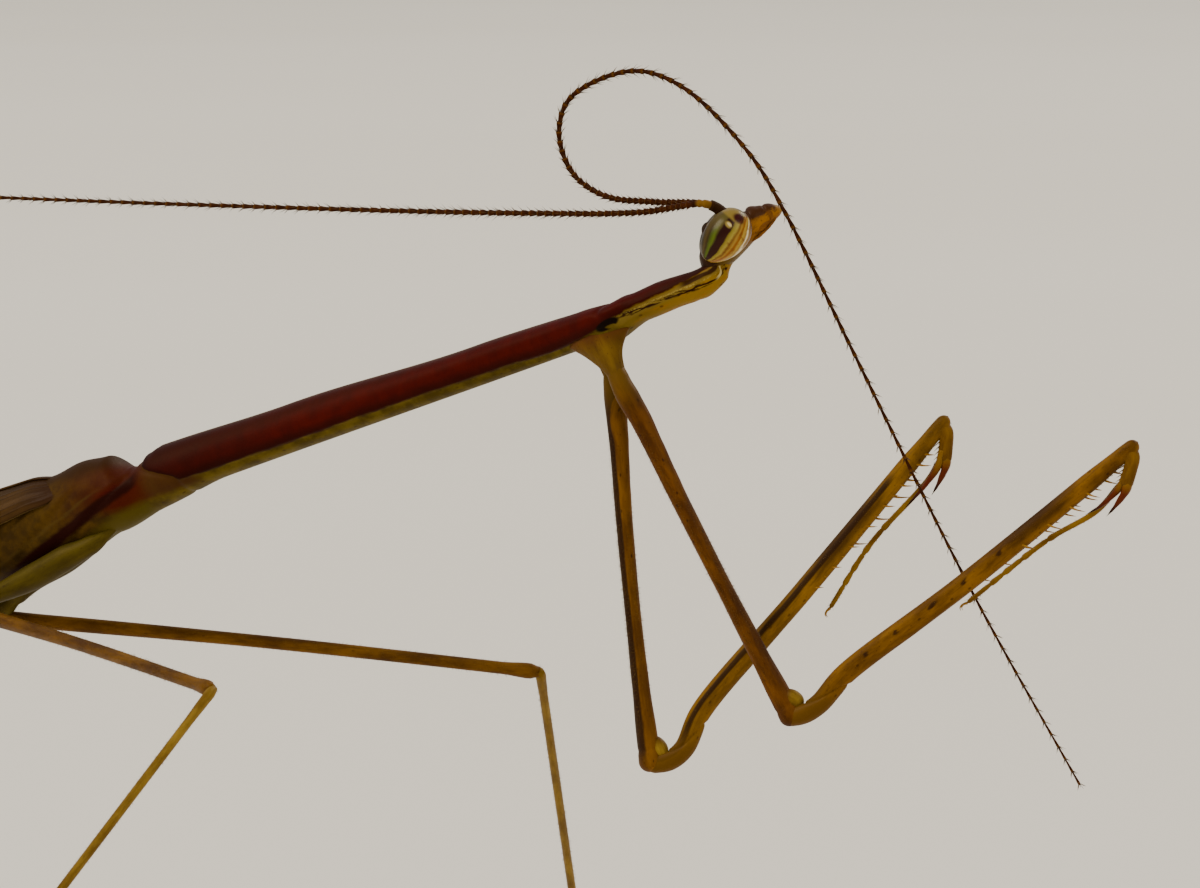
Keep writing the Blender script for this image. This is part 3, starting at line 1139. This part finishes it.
    foot = [shin - folded * 0.2 - ahead * 0.14] + [np.array(p) for p in leg["tarsus"]]
    half = ([0, 0.05], [0.08, 0.07], [0.6, 0.062], [1, 0.055])
    tarsusShell = footShell(foot, half, (0.52, 0.67, 0.78, 0.86))
    makePiece(f"foreTarsus_{name}", tarsusShell, finishes["tarsus"], (f"foreleg_{name}_tarsus",))
    keepHair(foot, 0.06, 420, 0.07, 0.8)

    # the two hooked prongs of the shin, which taper on from its end
    start = shin - folded * 0.22 + ahead * 0.05
    hookPoints = [
        start, start + turned(142) * 0.36 + ahead * 0.04, start + turned(150) * 0.72,
        shin + turned(159) * 0.84,
    ]
    hookHalf = ([0, 0.12], [0.25, 0.11], [0.5, 0.075], [0.8, 0.035], [1, 0.004])
    start = shin - folded * 0.3 - ahead * 0.05 - outward * 0.03
    way = leg["prong"]
    prongPoints = [start, start + turned(way - 20) * 0.4, start + turned(way - 10) * 0.95]
    prongPoints += [start + turned(way - 4) * leg["reach"]]
    prongHalf = ([0, 0.1], [0.25, 0.085], [0.55, 0.055], [0.82, 0.028], [1, 0.004])
    parts = [
        stick(points, half, None, 44, 24, outward)
        for points, half in ((hookPoints, hookHalf), (prongPoints, prongHalf))
    ]
    hooks = together(*parts)
    hooks["reach"] = np.concatenate([part["lay"][:, 0] / part["lay"][:, 0].max() for part in parts])
    makePiece(f"foreHooks_{name}", hooks, finishes["hook"])

    # the spines under the thigh: four long ones outside, a row of alternating ones inside. Each
    # is its share of the thigh's length, its own length and its side, 1 for outside
    parts = []
    spines = [(0.66, 0.46, 1), (0.735, 0.52, 1), (0.8, 0.5, 1), (0.85, 0.42, 1)]
    spines += [(0.53 + 0.0305 * k, 0.24 if k % 2 else 0.38, -1) for k in range(14)]
    spineHalf = ([0, 0.036], [0.3, 0.027], [0.7, 0.015], [1, 0.003])
    for share, size, lean in spines:
        start = elbow + ahead * length * share + below * 0.16 + outward * 0.09 * lean
        tip = start + (ahead * 0.61 + below * 0.79 + outward * 0.22 * lean) * size
        middle = (start + tip) / 2 + (below * 0.79 - ahead * 0.61) * 0.05 * size
        parts.append(stick([start, middle, tip], spineHalf, None, 12, 8, outward))
    # a comb of small teeth on both edges of the channel, and a row of larger ones on the shin
    comb = np.tile(np.linspace(0.3, 0.93, 60), 2)
    lean = np.repeat([1, -1], 60)
    base = elbow + ahead * (length * comb)[:, None] + below * 0.215 + outward * (0.07 * lean)[:, None]
    tips = base + (below * 0.9 + ahead * 0.3) * chance.uniform(0.03, 0.09, len(comb))[:, None]
    rows = np.linspace(0.2, 0.95, 8)[:, None]
    shinBase = knee + folded * foreLeg["tibia"] * rows - turned(50) * 0.12
    shinTips = shinBase + (turned(150) * 0.6 - turned(50) * 0.5) * 0.24
    parts += [spikes(base, tips, 0.012), spikes(shinBase, shinTips, 0.02)]
    lastJoint, footTip = (np.array(at) for at in leg["tarsus"][1:])
    ending = unit(footTip - lastJoint)
    spread = unit(np.cross(ending, [0, 0, 1]))
    parts.append(clawPair(footTip, ending, spread, 0.24, np.cross(spread, ending)))
    makePiece(f"foreSpines_{name}", together(*parts), finishes["spine"])
    # the rounded pale lobe on the inner side of the elbow
    inner = unit(ahead - down * (ahead @ down))
    axes = np.stack([unit(down + inner * 0.5), outward, unit(inner - down * 0.5)])
    lobe = ball(elbow + inner * 0.24 - down * 0.21, axes, np.array([0.29, 0.17, 0.2]), 32, 40, 0.1)
    makePiece(f"foreLobe_{name}", lobe, finishes["lobe"])


def hookFinish():
    # golden where it leaves the shin, red brown along it and black at the point
    made, tree, shader = newFinish("hookCuticle", 0.4, coat=0.03, level=0.15)
    grain = grainOf(tree, (3, 3, 3))
    reach = calc(tree, "ADD", field(tree, "reach"), times(tree, grain["Cloudy"], 0.12))
    skin = paint(tree, "#74500e", "#521a05", ramp(tree, reach, 0.2, 0.5))
    skin = paint(tree, skin, "#170503", ramp(tree, reach, 0.62, 0.95))
    dress(tree, shader, skin, grain["Height"], 0.004, 0.4)
    return made


print("grasping legs")
coxaEnd, femurEnd = ((1.9, 0.7), "#5a400a"), ((1.7, 0.9), "#553806")
finishes = {
    "coxaRight": limbFinish("coxaRightCuticle", "#3a1c04", "#643a08", 0.85, end=coxaEnd),
    "coxaLeft": limbFinish("coxaLeftCuticle", "#4a2a04", "#744a0a", 0.75, (-0.35, 0.07, 9.4), coxaEnd),
    "femurRight": limbFinish(
        "femurRightCuticle", "#4a2c04", "#7a5008", 0.6, end=femurEnd, patch=(6.9, 8.7),
        spotted=(1.9, 6.8, 1.02, 0.03),
    ),
    "femurLeft": limbFinish(
        "femurLeftCuticle", "#54380a", "#80580e", 0.5, (0.03, 0.16, 8.8), femurEnd, (6.4, 8.4),
    ),
    "socket": limbFinish("socketCuticle", "#4c340a", "#6a4e0e", 0.6, end=((0.3, -0.25), "#4c200c")),
    "tibia": limbFinish("tibiaCuticle", "#523408", "#7c560e", 0.4),
    "tarsus": limbFinish("tarsusCuticle", "#583806", "#84600c", 0.3),
    "lobe": limbFinish("lobeCuticle", "#553c0a", "#84681a", 0.35, end=((0.04, -0.2), "#4c2e06")),
    "spine": simpleFinish("spineCuticle", "#6a440c", "#94691c", 0.4, 0.03, 3.0),
    "hook": hookFinish(),
}
for foreSide in ("right", "left"):
    makeForeLeg(foreSide, finishes)


# Walking legs.

walking = {
    "midleg_right": dict(
        lift=0.0, hip=(-15.5, -0.62, 11.05), trochanter=(-18.42, -0.81, 9.24), femur=13.86,
        femurTurn=-30.4, femurClimb=-4.6, tibia=12.4, tibiaTurn=-94.2, foot=4.6, footTurn=-84,
    ),
    "midleg_left": dict(
        lift=0.4, hip=(-15.5, 0.62, 11.05), trochanter=(-18.5, 0.95, 8.9), femur=13.86,
        femurTurn=14.2, femurClimb=-4.3, tibia=12.4, tibiaTurn=116.4, foot=4.6, footTurn=104,
    ),
    "hindleg_right": dict(
        lift=0.1, hip=(-19.7, -0.6, 9.75), trochanter=(-21.8, -1.05, 8.25), femur=14.5,
        femurTurn=-128, femurClimb=14, tibia=16.5, tibiaTurn=-150, foot=5.4, footTurn=-146,
    ),
    "hindleg_left": dict(
        lift=0.1, hip=(-19.7, 0.6, 9.75), trochanter=(-21.8, 1.05, 8.25), femur=14.5,
        femurTurn=124, femurClimb=16, tibia=16.5, tibiaTurn=152, foot=5.4, footTurn=147,
    ),
}
walkingSize = dict(footHalf=0.075, ankle=0.75)


def makeWalkingLeg(name, finishes):
    leg = walking[name]
    hip, trochanter = np.array(leg["hip"]), np.array(leg["trochanter"])
    beyond = trochanter + unit(trochanter - hip) * 0.2
    # the hip leaves the underside of the body well ahead and runs back along it
    outward = np.sign(hip[1])
    hipPlaces = (
        (-0.5, -0.45, -0.4), (-0.31, -0.16, -0.66), (-0.04, 0, -0.6), (0.22, 0, -0.54), (0.58, 0, -0.36),
    )
    coxaPoints = [
        hip + (trochanter - hip) * share + [0, away * outward, leg["lift"] + drop]
        for share, away, drop in hipPlaces
    ]
    coxaPoints += [trochanter, beyond]
    half = (
        [0, 0.06], [0.1, 0.14], [0.22, 0.24], [0.36, 0.31], [0.5, 0.32], [0.8, 0.22],
        [0.84, 0.18], [0.88, 0.22], [0.97, 0.2], [1, 0.08],
    )
    coxaShell = stick(coxaPoints, half, None, 90, 32)
    makePiece(name + "_hip", coxaShell, finishes["hip"], (name + "_coxa",))
    knee = trochanter + heading(leg["femurTurn"], leg["femurClimb"]) * leg["femur"]
    femurPoints = [trochanter, trochanter + (knee - trochanter) * 0.5 + [0, 0, 0.06], knee]
    wide = ([0, 0.13], [0.02, 0.17], [0.1, 0.16], [0.5, 0.145], [0.93, 0.14], [0.98, 0.17], [1, 0.1])
    high = ([0, 0.14], [0.02, 0.19], [0.1, 0.18], [0.5, 0.155], [0.93, 0.15], [0.98, 0.19], [1, 0.12])
    femurShell = stick(femurPoints, wide, high, 120, 28)
    makePiece(name + "_thigh", femurShell, finishes["thigh"], (name + "_femur",))
    drop = math.degrees(math.asin((knee[2] - walkingSize["ankle"]) / leg["tibia"]))
    shinWay = heading(leg["tibiaTurn"], -drop)
    ankle = knee + shinWay * leg["tibia"]
    shinPoints = [knee - shinWay * 0.06, (knee + ankle) / 2, ankle]
    half = ([0, 0.09], [0.015, 0.13], [0.04, 0.12], [0.1, 0.105], [0.94, 0.1], [0.985, 0.13], [1, 0.06])
    shinShell = stick(shinPoints, half, None, 120, 24, over=heading(leg["femurTurn"], 30))
    makePiece(name + "_shin", shinShell, finishes["shin"], (name + "_tibia",))
    sole = walkingSize["footHalf"]
    ahead = heading(leg["footTurn"], 0)
    across = np.array([-ahead[1], ahead[0], 0])

    def overFloor(distance, z):
        return np.array([*(ankle + ahead * distance)[:2], z])

    footPoints = [
        ankle, overFloor(0.75, sole + 0.08), overFloor(leg["foot"] / 2, sole + 0.01),
        overFloor(leg["foot"], sole),
    ]
    half = ([0, 0.07], [0.1, 0.078], [0.5, 0.074], [1, 0.07])
    foot = footShell(footPoints, half, (0.5, 0.65, 0.77, 0.86))
    foot["spots"][:, 2] = np.maximum(foot["spots"][:, 2], 0.0)
    makePiece(name + "_foot", foot, finishes["foot"], (name + "_tarsus",))
    clawRoot = overFloor(leg["foot"] - 0.02, sole + 0.02)
    claws = clawPair(clawRoot, ahead, across, 0.26, np.array([0, 0, 1.0]))
    spurs = []
    for side in (-1, 1):
        start = ankle + across * 0.07 * side
        spur = [start, start + shinWay * 0.3 + across * 0.09 * side]
        spurs.append(stick(spur, ([0, 0.035], [0.6, 0.022], [1, 0.004]), None, 10, 8, ahead + [0, 0, 0.4]))
    tips = together(claws, *spurs)
    tips["spots"][:, 2] = np.maximum(tips["spots"][:, 2], 0.0)
    makePiece(name + "_claws", tips, finishes["spine"])
    keepHair(coxaPoints[3:], 0.24, 200, 0.06, 0.9)
    keepHair(femurPoints, 0.15, 2600, 0.075, 1.1)
    keepHair(shinPoints, 0.1, 2200, 0.07, 1.0, over=(0.4, 0.2, 0.1))
    keepHair(footPoints, 0.075, 500, 0.09, 0.8, over=across)


print("walking legs")
finishes.update({
    "hip": limbFinish("hipCuticle", "#342a06", "#4c4008", 0.4),
    "thigh": limbFinish("thighCuticle", "#402404", "#6c4608", 0.35),
    "shin": limbFinish("shinCuticle", "#60440a", "#86681c", 0.25),
    "foot": limbFinish("footCuticle", "#553a0c", "#7c5c1c", 0.25),
})
for legName in walking:
    makeWalkingLeg(legName, finishes)


# Wings and tail feelers.

wing = dict(length=23.0, start=1.35, rows=260, columns=44, shell=0.05)


def wingSpots(side, above, turnFrom=0.0, stretch=1.0):
    # over the back: centre line + across*sin a*(wide+out) + lift*cos a*(high+out), with a from
    # the midline to the wing's own edge and v from 0 to 1 over the same way; out is
    # above*(1 - 0.75*v^2), and 0.014 more on the veins
    first = trunk["wingedLength"] + 0.06 - wing["start"]
    share = (wing["length"] - first) / (wing["length"] + 0.5)
    points = [mesoFront + thoraxAxis * wing["start"], mesoFront + thoraxAxis * 5, abdomenFront]
    points += list(abdomenAt(np.array([0.2, 0.4, share])))
    t = np.linspace(0, 1, wing["rows"]) * stretch
    path = curveThrough(points, np.linspace(0, 1, 600))
    path = np.vstack([path, path[-1] + (path[-1] - path[-2]) * 40])
    path = spaced(path, np.minimum(t * runOf(path[:-1])[-1] / runOf(path)[-1], 1))
    _, across, lift = framesAlong(path, (0, 0, 1))
    wide = ease(t, [0, 0.8], [0.5, 0.86], [1, 0.84])
    high = ease(t, [0, 0.5], [0.5, 0.6], [1, 0.6])
    wrap = ease(
        t, [0, 34], [0.02, 50], [0.06, 66], [0.12, 78], [0.2, 82],
        [0.75, 82], [0.9, 64], [0.96, 44], [0.99, 24], [1.0, 16],
    )
    v = np.linspace(0, 1, wing["columns"])[None, :]
    a = np.radians(turnFrom + (wrap[:, None] - turnFrom) * v)
    veins = sum(hump(v, vein, 0.012) for vein in (0.1, 0.2, 0.29, 0.38, 0.47, 0.56, 0.66, 0.77, 0.88))
    lifted = above * ease(t, [0, 0.3], [0.08, 1])[:, None] * (1 - 0.75 * v ** 2) + 0.014 * veins
    out = np.sin(a) * (wide[:, None] + lifted)
    up = np.cos(a) * (high[:, None] + lifted)
    # across points to the insect's left as the line runs back
    spots = path[:, None] + across[:, None] * (side * out)[..., None] + lift[:, None] * up[..., None]
    lay = np.stack([t[:, None] * wing["length"] + 0 * a, 1.9 * v + 0 * a, 0 * a], -1)
    return spots, lay, veins + 0 * a


def makeWing(name, side, above, finish, slot, nodes, **extra):
    top, lay, veins = wingSpots(side, above, **extra)
    under, _, _ = wingSpots(side, above - wing["shell"], **extra)
    shell = sheet(top, under, lay)
    shell["vein"] = np.concatenate([veins.reshape(-1)] * 2)
    if side < 0:
        shell["quads"] = shell["quads"][:, ::-1]
    return makePiece(name, shell, finish, nodes)


def wingFinish(name, thin, thick, vein):
    made, tree, shader = newFinish(name, 0.55, coat=0.02, level=0.1)
    where = laid(tree, (1.3, 3.2, 1))
    cloudy = noise(tree, laid(tree, (0.5, 2, 1)), 1.2, 4.0)
    skin = paint(tree, thin, thick, ramp(tree, cloudy, 0.35, 0.68))
    web = wire(tree, "TexVoronoi", {"Vector": where, "Scale": 3.0}, feature="DISTANCE_TO_EDGE")["Distance"]
    cross = ramp(tree, web, 0.06, 0.02)
    lines = calc(tree, "MAXIMUM", ramp(tree, field(tree, "vein"), 0.3, 0.8), times(tree, cross, 0.45))
    back = laidParts(tree)["X"]
    lines = times(tree, lines, ramp(tree, back, 0.6, 4.0))
    skin = paint(tree, skin, vein, lines)
    skin = paint(tree, skin, "#2c160a", ramp(tree, back, 2.4, 0.4))
    dress(tree, shader, skin, lines, 0.012, 0.6)
    return made


print("wings")
foreWing = wingFinish("foreWingSkin", "#2e1d0a", "#462f12", "#1e1006")
hindWing = wingFinish("hindWingSkin", "#4c3a1c", "#66502a", "#2c1c0a")
makeWing("foreWing_right", -1, 0.5, foreWing, "wing", ("forewing_right",), turnFrom=-8.0)
makeWing("foreWing_left", 1, 0.54, foreWing, "wing", ("forewing_left",), turnFrom=-14.0)
makeWing("hindWing_right", -1, 0.3, hindWing, "wing", (), stretch=0.985)
makeWing("hindWing_left", 1, 0.36, hindWing, "wing", (), stretch=0.985)


def makeCercus(name, side, finish):
    root = abdomenTip + [0.62, side * 0.2, 0.14]
    points = [root, root + heading(180 - side * 34, 4), root + heading(180 - side * 24, 4) * 2.1]
    t = np.linspace(0, 1, 140)
    half = ease(t, [0, 0.1], [0.1, 0.15], [0.6, 0.12], [1, 0.03])
    half = half * (1 - 0.22 * np.abs(np.cos(t * math.pi * 9)) ** 14)
    shell = tube(curveThrough(points, t), half, half, None, 18)
    makePiece("cercus_" + name + "_skin", shell, finish, ("cercus_" + name,))
    keepHair(points, 0.12, 160, 0.22, 1.4)


for cercusName, cercusSide in (("right", -1), ("left", 1)):
    makeCercus(cercusName, cercusSide, finishes["hip"])


# Down on the limbs.

def downShell(rows, steps=400):
    # every hair is a thin three-sided spike standing on its limb and leaning along it
    shells = []
    for number, row in enumerate(rows):
        dense = curveThrough(row["points"], np.linspace(0, 1, steps))
        share = chance.uniform(*row["span"], row["count"])
        turn = chance.uniform(0, 2 * math.pi, row["count"])
        base = spaced(dense, share)
        k = np.round(share * (steps - 1)).astype(int)
        ahead, across, lift = (ways[k] for ways in framesAlong(dense, row["over"]))
        outward = across * np.sin(turn)[:, None] + lift * np.cos(turn)[:, None]
        roots = base + outward * row["half"] * 0.8
        reach = row["length"] * chance.uniform(0.6, 1.25, row["count"])
        tips = roots + outward * row["half"] * 0.2 + unit(ahead + outward * row["lean"]) * reach[:, None]
        strip = (number + 0.1 + 0.8 * turn / (2 * math.pi)) / len(rows)
        shells.append(spikes(roots, tips, 0.004, np.stack([0.01 + 0.98 * share, strip], 1)))
    whole = together(*shells)
    whole["spots"][:, 2] = np.maximum(whole["spots"][:, 2], 0.0)  # none reaches under the floor
    return whole


print("down")
makePiece("limbDown", downShell(hairRows), hairFinish("limbHair", "#52380f", "#8a6c34"))


# Stage.

def stageFinish(name, colour):
    made, tree, shader = newFinish(name, 0.9, level=0.1)
    soft = noise(tree, wire(tree, "TexCoord")["Object"], 3.0, 2.0)
    dress(tree, shader, paint(tree, colour, "#e2dccf", ramp(tree, soft, 0.3, 0.7)))
    return made


def makeFloor(reach=10):
    mesh = bpy.data.meshes.new("floor")
    corners = [(x * reach, y * reach, 0) for x, y in ((-1, -1), (1, -1), (1, 1), (-1, 1))]
    mesh.from_pydata(corners, [], [(0, 1, 2, 3)])
    mesh.materials.append(stageFinish("palePaper", "#dfd8ca"))
    floor = bpy.data.objects.new("floor", mesh)
    bpy.context.scene.collection.objects.link(floor)


lights = {
    "keyLight": dict(at=(-0.9, -1.1, 1.3), size=0.9, power=26, colour=(1.0, 0.97, 0.92)),
    "fillLight": dict(at=(1.3, -0.6, 0.9), size=1.0, power=10, colour=(0.95, 0.97, 1.0)),
    "rimLight": dict(at=(0.3, 1.5, 1.4), size=0.8, power=22, colour=(1.0, 0.95, 0.85)),
}
room = dict(colour=(1, 0.98, 0.95, 1), strength=0.55)


def addLight(name, towards=(0, 0, 0.01)):
    light = lights[name]
    data = bpy.data.lights.new(name, "AREA")
    data.size, data.energy, data.color = light["size"], light["power"], light["colour"]
    lamp = bpy.data.objects.new(name, data)
    lamp.location = light["at"]
    lamp.rotation_euler = (Vector(towards) - Vector(light["at"])).to_track_quat("-Z", "Y").to_euler()
    bpy.context.scene.collection.objects.link(lamp)


def addRoom():
    world = bpy.data.worlds.new("paleRoom")
    world.use_nodes = True
    background = world.node_tree.nodes["Background"].inputs
    background[0].default_value, background[1].default_value = room["colour"], room["strength"]
    bpy.context.scene.world = world


def addCamera():
    # 31 degrees off the insect's right side and a little above it
    view = dict(yaw=31.4, down=3.0, target=(0, -1.28, 13.7), distance=300.0, across=27.907, sensor=36)
    yaw, down = math.radians(view["yaw"]), math.radians(view["down"])
    right = Vector((math.cos(yaw), math.sin(yaw), 0))
    forward = Vector((-math.cos(down) * math.sin(yaw), math.cos(down) * math.cos(yaw), -math.sin(down)))
    turned = Matrix((right, right.cross(forward), -forward)).transposed().to_4x4()
    turned.translation = Vector(place(view["target"])) - forward * view["distance"] * 0.001
    data = bpy.data.cameras.new("camera")
    data.sensor_width = view["sensor"]
    data.lens = view["sensor"] * view["distance"] / view["across"]
    data.clip_start, data.clip_end = 0.001, 100
    camera = bpy.data.objects.new("camera", data)
    bpy.context.scene.collection.objects.link(camera)
    camera.matrix_world = turned
    bpy.context.scene.camera = camera


print("stage")
makeFloor()
for lightName in lights:
    addLight(lightName)
addRoom()
addCamera()
